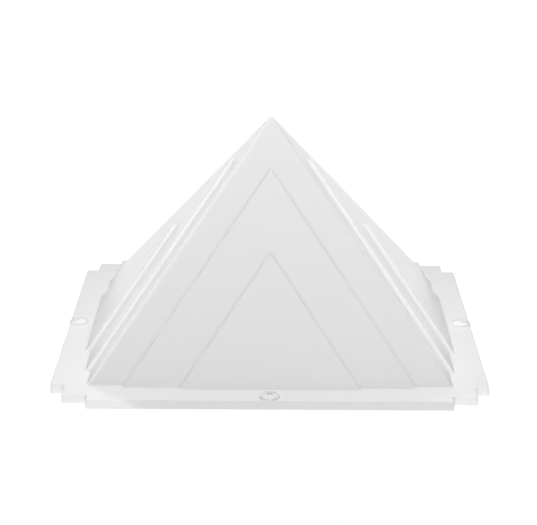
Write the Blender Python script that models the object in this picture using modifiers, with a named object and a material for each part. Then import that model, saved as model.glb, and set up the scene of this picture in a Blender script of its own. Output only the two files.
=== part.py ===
"""Pyramid cap for a square fence post, with the four screws that fix it.

The cap is one thin-walled moulding: a four-sided pyramid whose faces carry two
raised, nested gables, standing on a flat flange with stepped corners.  A raised
boss in the middle of each flange side takes a countersunk screw.

Metres, +Z up.  The origin is the centre of the flange's underside, which is the
plane of the post's top.  The screws point down into the post, below z = 0.
"""

import math

import bmesh
import bpy
from mathutils import Matrix, Vector

MM = 0.001
GAP = 0.3 * MM  # left between a screw and the cap

# Pyramid: half widths are taken where the faces meet the flange's top
PYRAMID_HALF = 62.5 * MM
PYRAMID_HEIGHT = 80.0 * MM
GABLES = ((49.8 * MM, 1.8 * MM), (30.5 * MM, 3.6 * MM))  # half width at the foot, how far it stands out
WALL = 2.0 * MM

# Flange: a square plate with one wide tab on each side
FLANGE_THICKNESS = 3.2 * MM
PLATE_HALF = 70.25 * MM
TAB_HALF_WIDTH = 61.8 * MM
TAB_REACH = 75.0 * MM
CORNER_ROUND = 1.0 * MM
CORNER_STEPS = 4
EDGE_ROUND = 0.4 * MM

# Bosses, one in the middle of each side
BOSS_CENTRE = 71.75 * MM
BOSS_RADIUS = 3.4 * MM
BOSS_HEIGHT = 0.8 * MM  # above the flange's top
BOSS_ROUND = 0.3 * MM
BOSS_FOOT = 0.6 * MM
BOSS_SEGMENTS = 32

# Raised countersunk tapping screw, 2.9 mm by 16 mm
HEAD_RADIUS = 2.75 * MM
HEAD_RIM = 0.25 * MM
HEAD_DOME = 0.7 * MM
HEAD_SUNK = 0.1 * MM  # rim's top below the boss's top
SCREW_LENGTH = 16.0 * MM
NECK_RADIUS = 1.25 * MM
CORE_RADIUS = 1.1 * MM
THREAD_RADIUS = 1.45 * MM
THREAD_PITCH = 1.1 * MM
THREAD_START = 4.2 * MM  # below the rim's top
TIP_LENGTH = 3.0 * MM
THREAD_STEPS = 8  # to a turn
HEAD_SEGMENTS = 20
RECESS_SPAN = 3.0 * MM
RECESS_WIDTH = 0.8 * MM
RECESS_DEPTH = 1.2 * MM

FLANGE_TOP = FLANGE_THICKNESS
BOSS_TOP = FLANGE_TOP + BOSS_HEIGHT
RIM_TOP = BOSS_TOP - HEAD_SUNK
SLOPE = PYRAMID_HEIGHT / PYRAMID_HALF
WALL_ACROSS = WALL * math.hypot(1.0, SLOPE) / SLOPE  # the wall measured along the ground
BURIED = FLANGE_THICKNESS / 2.0  # how deep the pyramid's solids run into the flange

# Side, direction out of that side, and how far its screw's cross recess is turned
SIDES = (
    ("front", Vector((0.0, -1.0, 0.0)), math.radians(45.0)),
    ("right", Vector((1.0, 0.0, 0.0)), math.radians(4.0)),
    ("back", Vector((0.0, 1.0, 0.0)), math.radians(27.0)),
    ("left", Vector((-1.0, 0.0, 0.0)), math.radians(-6.0)),
)


def clear_scene():
    for obj in list(bpy.data.objects):
        bpy.data.objects.remove(obj, do_unlink=True)


def make_collection(name):
    collection = bpy.data.collections.new(name)
    bpy.context.scene.collection.children.link(collection)
    return collection


def make_material(name, colour, roughness, metallic):
    material = bpy.data.materials.new(name)
    material.use_nodes = True
    shader = material.node_tree.nodes["Principled BSDF"]
    shader.inputs["Base Color"].default_value = (*colour, 1.0)
    shader.inputs["Roughness"].default_value = roughness
    shader.inputs["Metallic"].default_value = metallic
    return material


def add_object(name, data, collection):
    obj = bpy.data.objects.new(name, data)
    collection.objects.link(obj)
    return obj


def object_from_bmesh(name, solid, collection):
    mesh = bpy.data.meshes.new(name)
    solid.to_mesh(mesh)
    solid.free()
    return add_object(name, mesh, collection)


def add_boolean(obj, other, operation):
    modifier = obj.modifiers.new(f"{operation} {other.name}", "BOOLEAN")
    modifier.operation = operation
    modifier.object = other
    modifier.solver = "EXACT"


def bake(obj):
    """Replace an object's mesh by its evaluated one, welded, with its modifiers removed."""
    bpy.context.view_layer.update()
    evaluated = obj.evaluated_get(bpy.context.evaluated_depsgraph_get())
    mesh = bpy.data.meshes.new_from_object(evaluated)
    solid = bmesh.new()
    solid.from_mesh(mesh)
    bmesh.ops.remove_doubles(solid, verts=solid.verts, dist=1e-7)
    solid.to_mesh(mesh)
    solid.free()
    obj.modifiers.clear()
    obj.data = mesh


def combine(obj, other, operation):
    """Join or cut at once, so that each step starts from a clean, welded mesh."""
    add_boolean(obj, other, operation)
    bake(obj)


def mesh_from_curve(curve_object, collection):
    """Turn a curve object into a mesh object in the same place, each open end closed by one flat face."""
    bpy.context.view_layer.update()
    evaluated = curve_object.evaluated_get(bpy.context.evaluated_depsgraph_get())
    mesh = bpy.data.meshes.new_from_object(evaluated)
    solid = bmesh.new()
    solid.from_mesh(mesh)
    bmesh.ops.remove_doubles(solid, verts=solid.verts, dist=1e-6)
    bmesh.ops.holes_fill(solid, edges=solid.edges, sides=0)
    bmesh.ops.recalc_face_normals(solid, faces=solid.faces)
    solid.to_mesh(mesh)
    solid.free()
    name = curve_object.name
    matrix = curve_object.matrix_world.copy()
    bpy.data.objects.remove(curve_object, do_unlink=True)
    obj = add_object(name, mesh, collection)
    obj.matrix_world = matrix
    return obj


def extruded_outline(name, points, half_depth, collection):
    """Return a closed prism on an outline in the XY plane, centred on that plane."""
    curve = bpy.data.curves.new(name, "CURVE")
    curve.dimensions = "2D"
    curve.fill_mode = "NONE"  # mesh_from_curve closes both ends
    curve.extrude = half_depth
    spline = curve.splines.new("POLY")
    spline.points.add(len(points) - 1)
    for point, (x, y) in zip(spline.points, points):
        point.co = (x, y, 0.0, 1.0)
    spline.use_cyclic_u = True
    return mesh_from_curve(add_object(name, curve, collection), collection)


def turned(name, profile, segments, collection):
    """Return the solid that a profile of (radius, height), top to bottom, sweeps about Z."""
    solid = bmesh.new()
    verts = [solid.verts.new((radius, 0.0, height)) for radius, height in profile]
    for first, second in zip(verts, verts[1:]):
        solid.edges.new((first, second))
    obj = object_from_bmesh(name, solid, collection)
    screw = obj.modifiers.new("Turn", "SCREW")
    screw.steps = segments
    screw.render_steps = segments
    screw.use_merge_vertices = True
    screw.merge_threshold = 1e-6
    return obj


# ---- Cap -------------------------------------------------------------------------------------

def pyramid(name, half, bottom, collection):
    """Return a square pyramid of the cap's slope; half is its half width at the flange's top."""
    apex = FLANGE_TOP + half * SLOPE
    height = apex - bottom
    solid = bmesh.new()
    bmesh.ops.create_cone(
        solid,
        cap_ends=True,
        segments=4,
        radius1=height / SLOPE * math.sqrt(2.0),
        radius2=0.0,
        depth=height,
        matrix=Matrix.Translation((0.0, 0.0, bottom + height / 2.0)) @ Matrix.Rotation(math.pi / 4.0, 4, "Z"),
    )
    bmesh.ops.remove_doubles(solid, verts=solid.verts, dist=1e-7)
    return object_from_bmesh(name, solid, collection)


def gable(name, half_width, reach, turn, bottom, collection):
    """Return the solid of two opposite raised gables, joined through the pyramid's middle."""
    top = half_width * SLOPE
    foot = FLANGE_TOP - bottom
    spread = half_width + foot / SLOPE
    outline = ((-spread, -foot), (spread, -foot), (0.0, top))
    prism = extruded_outline(name, outline, 2.0 * PYRAMID_HALF, collection)
    stand_up = Matrix.Rotation(math.pi / 2.0, 4, "X")
    prism.matrix_world = Matrix.Translation((0.0, 0.0, FLANGE_TOP)) @ Matrix.Rotation(turn, 4, "Z") @ stand_up
    add_boolean(prism, pyramid(f"{name}_limit", reach, bottom - BURIED / 4.0, collection), "INTERSECT")
    return prism


def stepped_pyramid(name, inset, bottom, collection):
    """Return a pyramid with its raised gables, the whole set in by a distance along the ground."""
    body = pyramid(name, PYRAMID_HALF - inset, bottom, collection)
    for step, (half_width, raised) in enumerate(GABLES, start=1):
        for axis, turn in (("y", 0.0), ("x", math.pi / 2.0)):
            reach = PYRAMID_HALF + raised - inset
            foot = bottom - step * BURIED / 3.0
            part = gable(f"{name}_gable_{step}{axis}", half_width - inset, reach, turn, foot, collection)
            combine(body, part, "UNION")
    return body


def flange_outline():
    """Return the stepped outline: five rounded corners for each corner of the plate."""
    quarter = (
        (TAB_REACH, TAB_HALF_WIDTH, 1),
        (PLATE_HALF, TAB_HALF_WIDTH, -1),
        (PLATE_HALF, PLATE_HALF, 1),
        (TAB_HALF_WIDTH, PLATE_HALF, -1),
        (TAB_HALF_WIDTH, TAB_REACH, 1),
    )
    points = []
    for turn in range(4):
        spin = Matrix.Rotation(turn * math.pi / 2.0, 2)
        heading = 0.0  # each side is met running along +Y, then turns left or, at an inner corner, right
        for x, y, hand in quarter:
            along = Vector((-math.sin(heading), math.cos(heading)))
            outer = Vector((along.y, -along.x)) * hand
            centre = Vector((x, y)) - (along + outer) * CORNER_ROUND
            for step in range(CORNER_STEPS + 1):
                angle = math.pi / 2.0 * step / CORNER_STEPS
                points.append(spin @ (centre + (outer * math.cos(angle) + along * math.sin(angle)) * CORNER_ROUND))
            heading += hand * math.pi / 2.0
    return points


def flange(collection):
    """Return the flange plate, with its top edge rounded."""
    plate = extruded_outline("flange", flange_outline(), FLANGE_THICKNESS / 2.0, collection)
    solid = bmesh.new()
    solid.from_mesh(plate.data)
    bmesh.ops.translate(solid, verts=solid.verts, vec=(0.0, 0.0, FLANGE_THICKNESS / 2.0))
    rim = [e for e in solid.edges if min(v.co.z for v in e.verts) > FLANGE_THICKNESS / 2.0]
    bmesh.ops.bevel(solid, geom=rim, offset=EDGE_ROUND, segments=3, profile=0.5, affect="EDGES")
    solid.to_mesh(plate.data)
    solid.free()
    return plate


def boss(name, centre, collection):
    """Return one raised boss with a rounded rim."""
    rise = [(0.0, BOSS_TOP)]
    for step in range(4):
        angle = math.pi / 2.0 * (1.0 - step / 3.0)
        radius = BOSS_RADIUS - BOSS_ROUND + BOSS_ROUND * math.cos(angle)
        rise.append((radius, BOSS_TOP - BOSS_ROUND + BOSS_ROUND * math.sin(angle)))
    rise += [(BOSS_RADIUS, BOSS_FOOT), (0.0, BOSS_FOOT)]
    obj = turned(name, rise, BOSS_SEGMENTS, collection)
    obj.location = centre
    return obj


def screw_hole(name, centre, collection):
    """Return the cutter of one clearance hole with its countersink."""
    mouth = HEAD_RADIUS + GAP
    bore = THREAD_RADIUS + GAP
    sink_top = RIM_TOP - HEAD_RIM - GAP * (math.sqrt(2.0) - 1.0)
    profile = (
        (0.0, BOSS_TOP + BOSS_HEIGHT),
        (mouth, BOSS_TOP + BOSS_HEIGHT),
        (mouth, sink_top),
        (bore, sink_top - (mouth - bore)),
        (bore, -BOSS_HEIGHT),
        (0.0, -BOSS_HEIGHT),
    )
    obj = turned(name, profile, BOSS_SEGMENTS, collection)
    obj.location = centre
    return obj


def make_cap(collection, cutters):
    cap = stepped_pyramid("cap_shell", 0.0, BURIED, cutters)
    cutters.objects.unlink(cap)
    collection.objects.link(cap)
    combine(cap, flange(cutters), "UNION")
    for side, outward, _ in SIDES:
        combine(cap, boss(f"boss_{side}", outward * BOSS_CENTRE, cutters), "UNION")
    combine(cap, stepped_pyramid("hollow", WALL_ACROSS, -BURIED, cutters), "DIFFERENCE")
    for side, outward, _ in SIDES:
        combine(cap, screw_hole(f"hole_{side}", outward * BOSS_CENTRE, cutters), "DIFFERENCE")
    cap.data.materials.append(make_material("white_moulding", (0.86, 0.86, 0.87), 0.28, 0.0))
    return cap


# ---- Screws ----------------------------------------------------------------------------------

def core_radius(depth):
    """Return the threaded core's radius at a depth below the rim, down to the pointed tip."""
    return CORE_RADIUS * min(1.0, (SCREW_LENGTH - depth) / TIP_LENGTH)


def screw_head(collection):
    """Return the head and the plain neck under it, with the rim's top at z = 0."""
    sphere = (HEAD_RADIUS ** 2 + HEAD_DOME ** 2) / (2.0 * HEAD_DOME)
    profile = []
    for step in range(6):
        radius = HEAD_RADIUS * step / 5.0
        profile.append((radius, HEAD_DOME - sphere + math.sqrt(sphere ** 2 - radius ** 2)))
    cone_foot = -HEAD_RIM - (HEAD_RADIUS - NECK_RADIUS)
    profile += [(HEAD_RADIUS, -HEAD_RIM), (NECK_RADIUS, cone_foot), (NECK_RADIUS, -THREAD_START)]
    profile += [(CORE_RADIUS * 0.9, -THREAD_START - NECK_RADIUS * 0.2), (0.0, -THREAD_START - NECK_RADIUS * 0.2)]
    return turned("screw_head", profile, HEAD_SEGMENTS, collection)


def screw_core(collection):
    """Return the core that carries the thread, with its pointed tip."""
    profile = (
        (0.0, -THREAD_START),
        (CORE_RADIUS, -THREAD_START),
        (CORE_RADIUS, TIP_LENGTH - SCREW_LENGTH),
        (0.0, -SCREW_LENGTH),
    )
    return turned("screw_core", profile, THREAD_STEPS, collection)


def screw_thread(collection):
    """Return the thread: a helical ridge that follows the core and fades out at the tip."""
    ridge = THREAD_RADIUS - CORE_RADIUS
    depth = THREAD_START + THREAD_PITCH / 2.0
    points = []
    angle = math.pi / THREAD_STEPS
    while depth < SCREW_LENGTH - TIP_LENGTH * 0.25:
        fade = min(1.0, 0.35 + (depth - THREAD_START) / THREAD_PITCH)
        radius = core_radius(depth)
        points.append((radius * math.cos(angle), -radius * math.sin(angle), -depth, fade))
        depth += THREAD_PITCH / THREAD_STEPS
        angle += 2.0 * math.pi / THREAD_STEPS
    curve = bpy.data.curves.new("screw_thread", "CURVE")
    curve.dimensions = "3D"
    curve.twist_mode = "Z_UP"
    curve.bevel_depth = ridge
    curve.bevel_resolution = 0
    curve.use_fill_caps = True
    spline = curve.splines.new("POLY")
    spline.points.add(len(points) - 1)
    for point, (x, y, z, fade) in zip(spline.points, points):
        point.co = (x, y, z, 1.0)
        point.radius = fade
    return mesh_from_curve(add_object("screw_thread", curve, collection), collection)


def cross_recess(collection):
    """Return the cutter of the cross recess: two crossed wings that taper with depth."""
    wings = []
    for number, turn in enumerate((0.0, math.pi / 2.0)):
        solid = bmesh.new()
        bmesh.ops.create_cube(solid, size=1.0)
        for vert in solid.verts:
            low = vert.co.z < 0.0
            vert.co.x *= RECESS_SPAN * (0.45 if low else 1.15)
            vert.co.y *= RECESS_WIDTH * (0.7 if low else 1.08)
            vert.co.z = HEAD_DOME - RECESS_DEPTH if low else HEAD_DOME + RECESS_DEPTH / 4.0
        bmesh.ops.rotate(solid, verts=solid.verts, cent=(0.0, 0.0, 0.0), matrix=Matrix.Rotation(turn, 3, "Z"))
        wings.append(object_from_bmesh(f"recess_wing_{number}", solid, collection))
    add_boolean(wings[0], wings[1], "UNION")
    return wings[0]


def make_screws(collection, cutters):
    pattern = screw_head(cutters)
    bake(pattern)
    combine(pattern, screw_core(cutters), "UNION")
    combine(pattern, screw_thread(cutters), "UNION")
    combine(pattern, cross_recess(cutters), "DIFFERENCE")
    pattern.data.materials.append(make_material("white_painted_steel", (0.85, 0.85, 0.85), 0.32, 0.0))
    for side, outward, turn in SIDES:
        screw = add_object(f"screw_{side}", pattern.data, collection)
        screw.location = outward * BOSS_CENTRE + Vector((0.0, 0.0, RIM_TOP))
        screw.rotation_euler.z = turn
    pattern.data.shade_smooth()
    pattern.data.set_sharp_from_angle(angle=math.radians(35.0))


def main():
    clear_scene()
    collection = make_collection("fence_post_cap")
    cutters = make_collection("cutters")
    make_cap(collection, cutters)
    make_screws(collection, cutters)
    for cutter in cutters.objects:
        cutter.hide_render = True
        cutter.display_type = "WIRE"


main()
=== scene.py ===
import math

import bmesh
import bpy
from mathutils import Matrix, Vector


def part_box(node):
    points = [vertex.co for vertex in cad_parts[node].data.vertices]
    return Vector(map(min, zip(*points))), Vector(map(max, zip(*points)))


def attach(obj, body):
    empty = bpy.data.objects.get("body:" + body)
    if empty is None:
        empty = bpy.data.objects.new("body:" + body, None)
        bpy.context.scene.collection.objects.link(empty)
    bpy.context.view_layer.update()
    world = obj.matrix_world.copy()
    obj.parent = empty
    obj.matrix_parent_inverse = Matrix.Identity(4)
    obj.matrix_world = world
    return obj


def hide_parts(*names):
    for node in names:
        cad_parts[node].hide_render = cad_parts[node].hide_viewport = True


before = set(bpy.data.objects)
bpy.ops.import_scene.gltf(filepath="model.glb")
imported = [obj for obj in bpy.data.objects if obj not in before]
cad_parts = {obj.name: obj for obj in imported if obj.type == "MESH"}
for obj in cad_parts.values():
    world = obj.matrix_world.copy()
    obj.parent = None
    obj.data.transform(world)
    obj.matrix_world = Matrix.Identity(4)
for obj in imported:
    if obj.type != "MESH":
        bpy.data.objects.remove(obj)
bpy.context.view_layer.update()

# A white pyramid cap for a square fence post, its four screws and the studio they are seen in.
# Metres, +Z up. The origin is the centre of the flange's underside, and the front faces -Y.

MM = 0.001

SIDES = ("front", "right", "back", "left")

# The moulding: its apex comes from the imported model, and its other sizes repeat the CAD's
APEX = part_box("cap_shell")[1].z
FLANGE_TOP = 3.2 * MM
PYRAMID_HALF = 62.5 * MM
TAB_HALF_WIDTH = 61.8 * MM
TAB_REACH = 75.0 * MM
MOULD_ROUND = 0.3 * MM  # fillet along the edges of the pyramid, its gables and its foot
MOULD_ROUND_STEPS = 4
MOULD_EDGE_ANGLE = math.radians(48.0)  # edges that turn by less have no fillet
FILLET_ZONE = PYRAMID_HALF + 4.2 * MM  # no fillets further out, where the bosses are
CORNER_SHADE_ZONE = (PYRAMID_HALF + 3.0 * MM, PYRAMID_HALF + 5.0 * MM)  # where the painted corner shade fades out
CREASE_ANGLE = math.radians(40.0)  # edges that turn by more are shaded sharp

# Raised countersunk screw, 2.9 mm by 16 mm. Its head fills the seat more closely than the CAD's,
# and its recess is shallower.
HEAD_RADIUS = 2.85 * MM
HEAD_RIM = 0.25 * MM
HEAD_DOME = 0.7 * MM
DOME_STEPS = 12
RIM_STEPS = 6
RIM_BULGE = 0.8  # how far the rounded rim stands out, in its own radii
SCREW_LENGTH = 16.0 * MM
SCREW_SEGMENTS = 48
NECK_RADIUS = 1.25 * MM
NECK_FILLET = 0.1 * MM
CORE_RADIUS = 1.1 * MM
CORE_TAPER = 0.2 * MM
THREAD_RADIUS = 1.45 * MM
THREAD_PITCH = 1.1 * MM
THREAD_START = 4.2 * MM
THREAD_STEPS = 24  # to a turn
THREAD_FADE_FROM = 0.3  # share of the ridge's height at its upper end
TIP_LENGTH = 3.0 * MM
TIP_BARE = 0.2  # share of the tip that carries no ridge

# Cross recess: the shares are of its span and width, at the floor and above the head
RECESS_SPAN = 3.0 * MM
RECESS_SPAN_SHARES = (0.45, 1.15)
RECESS_WIDTH = 0.8 * MM
RECESS_WIDTH_SHARES = (0.7, 1.08)
RECESS_DEPTH = 0.75 * MM
RECESS_ROUND = 0.12 * MM
RECESS_TURNS = [math.radians(angle) for angle in (45.0, 4.0, 27.0, -6.0)]

# Studio
LIGHT_WORLD = 0.1
LIGHT_TOP = 22.7
LIGHT_FRONT = 6.2
LIGHT_SUN = 0.47
LIGHT_BACK = 4.8
CAP_MIDDLE = (0.0, 0.0, 0.03)
TOP_HEIGHT = 1.6
TOP_SIZE = (1.6, 1.86)
TOP_FORWARD = -0.1
FRONT_PLACE = (0.0, -1.6, 0.6)
FRONT_SIZE = 1.2
BACK_PLACE = (-0.1, 1.3, 1.0)
BACK_SIZE = 0.8
SUN_AZIMUTH = math.radians(-6.0)
SUN_HEIGHT = math.radians(18.0)
SUN_ANGLE = math.radians(0.1)
FLAG_DISTANCE = 0.25
FLAG_SHIFT = 0.9 * MM  # leaves a lit line along the front face's left edge
FLAG_END = 0.8 * TAB_HALF_WIDTH  # past this the tab's top stays in the sun at its left end
FLAG_END_BELOW = 0.7 * TAB_HALF_WIDTH  # the same, at the foot of the tab's wall
FLOOR_SIZE = 6.0
FLOOR_DROP = 0.2 * MM
WALL_RADIUS = 5.0
WALL_HEIGHT = 6.0
WALL_SEGMENTS = 64

# Camera
LENS = 114.97
SENSOR = 36.0
CAMERA_PLACE = Vector((0.002, -9.68, 3.61)) * PYRAMID_HALF
PITCH = math.radians(18.16)
YAW = math.radians(-0.08)
ROLL = math.radians(0.29)


# ---- Materials -------------------------------------------------------------------------------

class Nodes:
    """A short way to wire one material's node tree."""

    def __init__(self, name):
        self.material = bpy.data.materials.new(name)
        self.material.use_nodes = True
        self.tree = self.material.node_tree
        self.shader = self.tree.nodes["Principled BSDF"]
        self.place = self.add("ShaderNodeTexCoord").outputs["Object"]

    def add(self, kind, **settings):
        node = self.tree.nodes.new(kind)
        for key, value in settings.items():
            setattr(node, key, value)
        return node

    def link(self, source, target):
        self.tree.links.new(source, target)

    def noise(self, scale, detail, roughness=0.5, stretch=None):
        noise = self.add("ShaderNodeTexNoise")
        noise.inputs["Scale"].default_value = scale
        noise.inputs["Detail"].default_value = detail
        noise.inputs["Roughness"].default_value = roughness
        source = self.place
        if stretch is not None:
            mapping = self.add("ShaderNodeMapping")
            mapping.inputs["Scale"].default_value = stretch
            self.link(self.place, mapping.inputs["Vector"])
            source = mapping.outputs["Vector"]
        self.link(source, noise.inputs["Vector"])
        return noise.outputs["Fac"]

    def corners(self, samples, distance):
        """Near 0 in corners closer than distance, 1 in the open."""
        node = self.add("ShaderNodeAmbientOcclusion", samples=samples, only_local=True)
        node.inputs["Distance"].default_value = distance
        return node.outputs["AO"]

    def spread(self, value, low, high, to_low=0.0, to_high=1.0):
        node = self.add("ShaderNodeMapRange")
        for key, number in (("From Min", low), ("From Max", high), ("To Min", to_low), ("To Max", to_high)):
            node.inputs[key].default_value = number
        self.link(value, node.inputs["Value"])
        return node.outputs["Result"]

    def blend(self, factor, first, second):
        node = self.add("ShaderNodeMix", data_type="RGBA")
        for socket, value in ((node.inputs[0], factor), (node.inputs[6], first), (node.inputs[7], second)):
            if isinstance(value, tuple):
                socket.default_value = (*value, 1.0)
            else:
                self.link(value, socket)
        return node.outputs[2]

    def math(self, operation, first, second=None):
        node = self.add("ShaderNodeMath", operation=operation)
        self.link(first, node.inputs[0])
        if second is not None:
            self.link(second, node.inputs[1])
        return node.outputs["Value"]

    def bump(self, height, strength, distance, below=None):
        node = self.add("ShaderNodeBump")
        node.inputs["Strength"].default_value = strength
        node.inputs["Distance"].default_value = distance
        self.link(height, node.inputs["Height"])
        if below is not None:
            self.link(below, node.inputs["Normal"])
        return node.outputs["Normal"]


def inner_zone(n):
    """1 on the pyramid and its foot, fading to 0 on the flange."""
    parts = n.add("ShaderNodeSeparateXYZ")
    n.link(n.place, parts.inputs["Vector"])
    across = n.math("MAXIMUM", *(n.math("ABSOLUTE", parts.outputs[axis]) for axis in ("X", "Y")))
    return n.spread(across, *CORNER_SHADE_ZONE, 1.0, 0.0)


def white_moulding():
    """Gloss white plastic: faint flow clouds, painted shade in the corners, orange peel and fine scuffs."""
    n = Nodes("white_moulding")
    clouds = n.spread(n.noise(14.0, 2.0), 0.25, 0.75)
    colour = n.blend(clouds, (0.869, 0.866, 0.878), (0.880, 0.878, 0.887))
    # Painted shade: ambient occlusion darkens the base colour in the corners and creases of the pyramid and
    # its foot.
    corner_shade = n.spread(n.corners(16, 1.7 * MM), 0.5, 0.9, 0.9, 0.0)
    corner_shade = n.math("MULTIPLY", corner_shade, inner_zone(n))
    colour = n.blend(corner_shade, colour, (0.5, 0.5, 0.495))
    n.link(colour, n.shader.inputs["Base Color"])
    scuffs = n.spread(n.noise(900.0, 2.0, 0.6, (1.0, 0.12, 0.12)), 0.62, 0.78, 0.0, 0.05)
    rough = n.spread(n.noise(40.0, 3.0), 0.2, 0.8, 0.18, 0.22)
    n.link(n.math("ADD", rough, scuffs), n.shader.inputs["Roughness"])
    sinks = n.bump(n.noise(18.0, 0.0), 0.15, 0.1 * MM)
    peel = n.bump(n.noise(500.0, 1.0), 0.05, 0.01 * MM, sinks)
    n.link(peel, n.shader.inputs["Normal"])
    n.shader.inputs["IOR"].default_value = 1.5
    n.shader.inputs["Specular IOR Level"].default_value = 0.35
    return n.material


def coated_steel():
    """White coating on steel: mottled, with painted shade in the recess and the thread, orange peel."""
    n = Nodes("white_painted_steel")
    tone = n.blend(n.spread(n.noise(400.0, 2.0), 0.35, 0.65), (0.83, 0.832, 0.835), (0.88, 0.88, 0.882))
    # Painted shade: ambient occlusion darkens the coating in the cross recess, in the thread and in the
    # corners round the head.
    recess_shade = n.spread(n.corners(8, 0.8 * MM), 0.3, 0.85, 0.15, 0.0)
    n.link(n.blend(recess_shade, tone, (0.42, 0.42, 0.41)), n.shader.inputs["Base Color"])
    n.link(n.spread(n.noise(900.0, 3.0), 0.3, 0.7, 0.26, 0.4), n.shader.inputs["Roughness"])
    n.link(n.bump(n.noise(2500.0, 2.0), 0.2, 0.02 * MM), n.shader.inputs["Normal"])
    return n.material


def floor_paint():
    """Pale matt paint that glows more with distance, so that the far floor meets the wall unseen."""
    n = Nodes("studio_floor")
    n.shader.inputs["Base Color"].default_value = (0.45, 0.45, 0.45, 1.0)
    n.shader.inputs["Roughness"].default_value = 0.9
    n.shader.inputs["Specular IOR Level"].default_value = 0.1
    n.shader.inputs["Emission Color"].default_value = (1.0, 1.0, 1.0, 1.0)
    reach = n.add("ShaderNodeVectorMath", operation="LENGTH")
    n.link(n.place, reach.inputs[0])
    n.link(n.spread(reach.outputs["Value"], 0.3, 2.0, 0.6, 1.0), n.shader.inputs["Emission Strength"])
    return n.material


def wall_glow():
    n = Nodes("cyclorama")
    n.shader.inputs["Base Color"].default_value = (0.9, 0.9, 0.9, 1.0)
    n.shader.inputs["Emission Color"].default_value = (1.0, 1.0, 1.0, 1.0)
    n.shader.inputs["Emission Strength"].default_value = 1.0
    return n.material


# ---- Mesh helpers ----------------------------------------------------------------------------

def add_piece(name, mesh, material=None):
    """Return a new object of a mesh or a curve, in the scene."""
    piece = bpy.data.objects.new(name, mesh)
    bpy.context.scene.collection.objects.link(piece)
    if material is not None:
        piece.data.materials.clear()
        piece.data.materials.append(material)
    return piece


def mesh_of(name, solid):
    """Return a new mesh of the bmesh, which is then freed."""
    mesh = bpy.data.meshes.new(name)
    solid.to_mesh(mesh)
    solid.free()
    return mesh


def settled(piece):
    """Return the piece as a plain mesh, with its modifiers or its curve's bevel applied."""
    bpy.context.view_layer.update()
    evaluated = piece.evaluated_get(bpy.context.evaluated_depsgraph_get())
    mesh = bpy.data.meshes.new_from_object(evaluated)
    name = piece.name
    bpy.data.objects.remove(piece, do_unlink=True)
    return add_piece(name, mesh)


def joined(piece, other, operation):
    """Union or difference with a helper solid, which is then removed."""
    modifier = piece.modifiers.new(operation, "BOOLEAN")
    modifier.operation = operation
    modifier.object = other
    modifier.solver = "EXACT"
    piece = settled(piece)
    bpy.data.objects.remove(other, do_unlink=True)
    return piece


def cleaned(piece, outward=False):
    """Merge doubled vertices, and turn the faces outward where asked."""
    solid = bmesh.new()
    solid.from_mesh(piece.data)
    bmesh.ops.remove_doubles(solid, verts=solid.verts, dist=1e-7)
    if outward:
        bmesh.ops.recalc_face_normals(solid, faces=solid.faces)
    solid.to_mesh(piece.data)
    solid.free()
    return piece


def shade(piece):
    """Shade smooth, with flat faces kept flat and steep edges kept sharp."""
    piece.data.shade_smooth()
    piece.data.set_sharp_from_angle(angle=CREASE_ANGLE)
    normals = piece.modifiers.new("Flat faces", "WEIGHTED_NORMAL")
    normals.weight = 80
    normals.keep_sharp = True


def turned(name, profile, segments):
    """Return the solid that a profile of (radius, height), top to bottom, sweeps about Z."""
    outline = bmesh.new()
    verts = [outline.verts.new((radius, 0.0, height)) for radius, height in profile]
    for first, second in zip(verts, verts[1:]):
        outline.edges.new((first, second))
    piece = add_piece(name, mesh_of(name, outline))
    screw = piece.modifiers.new("Turn", "SCREW")
    screw.steps = segments
    screw.render_steps = segments
    screw.use_merge_vertices = True
    screw.merge_threshold = 1e-6
    return settled(piece)


# ---- Cap -------------------------------------------------------------------------------------

def is_mould_edge(edge):
    """True on a sharp edge of the pyramid, its gables, its foot or the hollow, away from the bosses."""
    if len(edge.link_faces) != 2 or edge.calc_face_angle() < MOULD_EDGE_ANGLE:
        return False
    return all(max(abs(v.co.x), abs(v.co.y)) < FILLET_ZONE for v in edge.verts)


def cap_moulding(material):
    """The CAD moulding with the fillets that a mould leaves along its edges."""
    solid = bmesh.new()
    solid.from_mesh(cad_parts["cap_shell"].data)
    bmesh.ops.remove_doubles(solid, verts=solid.verts, dist=1e-6)
    bmesh.ops.dissolve_limit(solid, angle_limit=math.radians(0.5), verts=solid.verts, edges=solid.edges)
    edges = [e for e in solid.edges if is_mould_edge(e)]
    bmesh.ops.bevel(
        solid, geom=edges, offset=MOULD_ROUND, segments=MOULD_ROUND_STEPS, profile=0.5, affect="EDGES",
        clamp_overlap=True,
    )
    piece = add_piece("cap_moulding", mesh_of("cap_moulding", solid), material)
    shade(piece)
    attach(piece, "cap")
    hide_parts("cap_shell")


# ---- Screws ----------------------------------------------------------------------------------

def helix_ridge(name):
    """A ridge wound round the shank's core, fading in at the neck and following the tip inward."""
    points = []
    depth = THREAD_START + THREAD_PITCH / 2.0
    while depth < SCREW_LENGTH - TIP_BARE * TIP_LENGTH:
        angle = 2.0 * math.pi * depth / THREAD_PITCH
        radius = CORE_RADIUS * min(1.0, (SCREW_LENGTH - depth) / TIP_LENGTH)
        fade = min(1.0, THREAD_FADE_FROM + (depth - THREAD_START) / (2.0 * THREAD_PITCH))
        points.append((radius * math.cos(angle), -radius * math.sin(angle), -depth, fade))
        depth += THREAD_PITCH / THREAD_STEPS
    curve = bpy.data.curves.new(name, "CURVE")
    curve.dimensions = "3D"
    curve.twist_mode = "Z_UP"
    curve.bevel_depth = THREAD_RADIUS - CORE_RADIUS
    curve.bevel_resolution = 0
    curve.use_fill_caps = True
    spline = curve.splines.new("POLY")
    spline.points.add(len(points) - 1)
    for point, (x, y, z, fade) in zip(spline.points, points):
        point.co = (x, y, z, 1.0)
        point.radius = fade
    return cleaned(settled(add_piece(name, curve)), outward=True)


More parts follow.
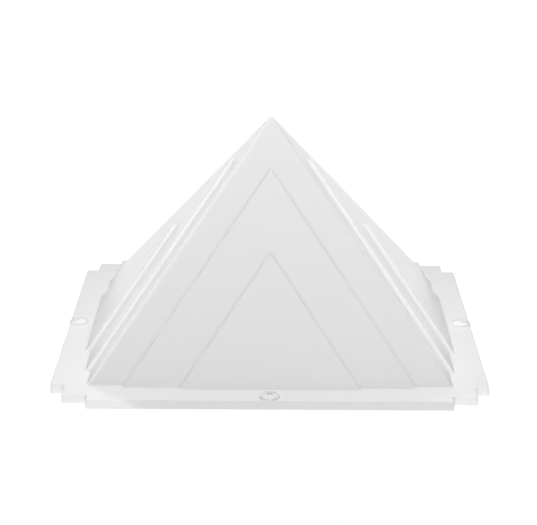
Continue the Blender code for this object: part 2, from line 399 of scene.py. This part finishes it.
def recess_wing(name, turn):
    """One slot of the cross recess, with sloping ends and slightly sloping sides."""
    floor, rim = HEAD_DOME - RECESS_DEPTH, HEAD_DOME + RECESS_DEPTH / 4.0
    solid = bmesh.new()
    bmesh.ops.create_cube(solid, size=1.0)
    for vert in solid.verts:
        level = 0 if vert.co.z < 0.0 else 1
        vert.co.x *= RECESS_SPAN * RECESS_SPAN_SHARES[level]
        vert.co.y *= RECESS_WIDTH * RECESS_WIDTH_SHARES[level]
        vert.co.z = (floor, rim)[level]
    upright = [e for e in solid.edges if abs(e.verts[0].co.z - e.verts[1].co.z) > RECESS_DEPTH / 2.0]
    bmesh.ops.bevel(solid, geom=upright, offset=RECESS_ROUND, segments=3, profile=0.5, affect="EDGES")
    bmesh.ops.rotate(solid, verts=solid.verts, cent=(0.0, 0.0, 0.0), matrix=Matrix.Rotation(turn, 3, "Z"))
    return add_piece(name, mesh_of(name, solid))


def screw_profile():
    """(radius, height) from the middle of the head's dome down to the point, with the rim's top at 0."""
    profile = []
    sphere = (HEAD_RADIUS ** 2 + HEAD_DOME ** 2) / (2.0 * HEAD_DOME)
    for step in range(DOME_STEPS + 1):
        radius = HEAD_RADIUS * step / DOME_STEPS
        profile.append((radius, HEAD_DOME - sphere + math.sqrt(sphere ** 2 - radius ** 2)))
    rim = HEAD_RIM / 2.0
    for step in range(1, RIM_STEPS + 1):
        angle = math.pi / 2.0 - math.pi * step / RIM_STEPS
        profile.append((HEAD_RADIUS + rim * math.cos(angle) * RIM_BULGE, -rim + rim * math.sin(angle)))
    profile += [
        (NECK_RADIUS + NECK_FILLET, -HEAD_RIM - (HEAD_RADIUS - NECK_RADIUS)),
        (NECK_RADIUS, -HEAD_RIM - HEAD_RADIUS),
        (NECK_RADIUS, -THREAD_START),
        (CORE_RADIUS, -THREAD_START - CORE_TAPER),
        (CORE_RADIUS, TIP_LENGTH - SCREW_LENGTH),
        (0.0, -SCREW_LENGTH),
    ]
    return profile


def screw_mesh():
    """The whole screw, with the top of the head's rim at z = 0."""
    piece = turned("coated_screw", screw_profile(), SCREW_SEGMENTS)
    piece = joined(piece, helix_ridge("screw_thread"), "UNION")
    cross = joined(recess_wing("recess", 0.0), recess_wing("recess_across", math.pi / 2.0), "UNION")
    piece = cleaned(joined(piece, cross, "DIFFERENCE"))
    mesh = piece.data
    bpy.data.objects.remove(piece, do_unlink=True)
    return mesh


def coated_screws(material):
    pattern = screw_mesh()
    for side, turn in zip(SIDES, RECESS_TURNS):
        low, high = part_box(f"screw_{side}")
        middle = (low + high) / 2.0
        mesh = pattern.copy()
        place = Matrix.Translation((middle.x, middle.y, low.z + SCREW_LENGTH))
        mesh.transform(place @ Matrix.Rotation(turn, 4, "Z"))
        piece = add_piece(f"coated_screw_{side}", mesh, material)
        shade(piece)
        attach(piece, f"{side}_fixing")
        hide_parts(f"screw_{side}")


# ---- Studio ----------------------------------------------------------------------------------

def studio_floor():
    solid = bmesh.new()
    bmesh.ops.create_grid(solid, x_segments=1, y_segments=1, size=FLOOR_SIZE)
    floor = add_piece("studio_floor", mesh_of("studio_floor", solid), floor_paint())
    floor.location.z = -FLOOR_DROP


def cyclorama():
    """A bright round wall that is the white behind the cap. It lights nothing and casts no shadow."""
    solid = bmesh.new()
    bmesh.ops.create_cone(
        solid, cap_ends=False, segments=WALL_SEGMENTS, radius1=WALL_RADIUS, radius2=WALL_RADIUS,
        depth=WALL_HEIGHT, matrix=Matrix.Translation((0.0, 0.0, WALL_HEIGHT / 2.0)),
    )
    wall = add_piece("cyclorama", mesh_of("cyclorama", solid), wall_glow())
    wall.visible_diffuse = False
    wall.visible_glossy = False
    wall.visible_shadow = False


def aim(obj, place, target):
    """Put the object at place, with its -Z axis towards the target."""
    obj.location = place
    obj.rotation_mode = "QUATERNION"
    obj.rotation_quaternion = (Vector(target) - Vector(place)).to_track_quat("-Z", "Y")


def add_light(name, kind, place, target, **settings):
    light = bpy.data.lights.new(name, kind)
    for key, value in settings.items():
        setattr(light, key, value)
    obj = bpy.data.objects.new(name, light)
    bpy.context.scene.collection.objects.link(obj)
    aim(obj, place, target)
    return obj


def flag(sun_from):
    """A card that keeps the front sun off the front face and its tab, as a studio flag does."""
    shaded_outline = (
        Vector((FLAG_SHIFT, 0.0, APEX)),
        Vector((PYRAMID_HALF + FLAG_SHIFT, -PYRAMID_HALF, FLANGE_TOP)),
        Vector((TAB_HALF_WIDTH, -TAB_REACH, FLANGE_TOP)),
        Vector((TAB_HALF_WIDTH, -TAB_REACH, 0.0)),
        Vector((-FLAG_END_BELOW, -TAB_REACH, 0.0)),
        Vector((-FLAG_END, -TAB_REACH, FLANGE_TOP)),
        Vector((FLAG_SHIFT - PYRAMID_HALF, -PYRAMID_HALF, FLANGE_TOP)),
    )
    solid = bmesh.new()
    solid.faces.new([
        solid.verts.new(point + sun_from * (FLAG_DISTANCE - point.dot(sun_from)))
        for point in shaded_outline
    ])
    card = add_piece("flag", mesh_of("flag", solid))
    card.visible_camera = False
    card.visible_diffuse = False
    card.visible_glossy = False
    card.visible_transmission = False


def lights():
    world = bpy.data.worlds.new("studio")
    bpy.context.scene.world = world
    world.use_nodes = True
    background = world.node_tree.nodes["Background"]
    background.inputs["Color"].default_value = (1.0, 1.0, 1.0, 1.0)
    background.inputs["Strength"].default_value = LIGHT_WORLD
    add_light(
        "top_box", "AREA", (0.0, TOP_FORWARD, TOP_HEIGHT), (0.0, TOP_FORWARD, 0.0),
        energy=LIGHT_TOP, shape="RECTANGLE", size=TOP_SIZE[0], size_y=TOP_SIZE[1],
    )
    front_box = add_light("front_box", "AREA", FRONT_PLACE, CAP_MIDDLE, energy=LIGHT_FRONT, size=FRONT_SIZE)
    add_light("back_box", "AREA", BACK_PLACE, CAP_MIDDLE, energy=LIGHT_BACK, size=BACK_SIZE)
    sun_from = Vector((
        math.sin(SUN_AZIMUTH) * math.cos(SUN_HEIGHT),
        -math.cos(SUN_AZIMUTH) * math.cos(SUN_HEIGHT),
        math.sin(SUN_HEIGHT),
    ))
    sun = add_light("front_sun", "SUN", sun_from, (0.0, 0.0, 0.0), energy=LIGHT_SUN, angle=SUN_ANGLE)
    for low_light in (front_box, sun):
        low_light.visible_glossy = False  # no glare off the flange when it is seen from behind
    flag(sun_from)


# ---- Camera ----------------------------------------------------------------------------------

def camera():
    data = bpy.data.cameras.new("camera")
    data.sensor_width = SENSOR
    data.lens = LENS
    obj = bpy.data.objects.new("camera", data)
    bpy.context.scene.collection.objects.link(obj)
    turn = Matrix.Rotation(-YAW, 4, "Z") @ Matrix.Rotation(math.pi / 2.0 - PITCH, 4, "X")
    obj.matrix_world = Matrix.Translation(CAMERA_PLACE) @ turn @ Matrix.Rotation(ROLL, 4, "Z")
    bpy.context.scene.camera = obj


def main():
    bpy.context.scene.view_settings.view_transform = "Standard"
    cap_moulding(white_moulding())
    coated_screws(coated_steel())
    studio_floor()
    cyclorama()
    lights()
    camera()


main()
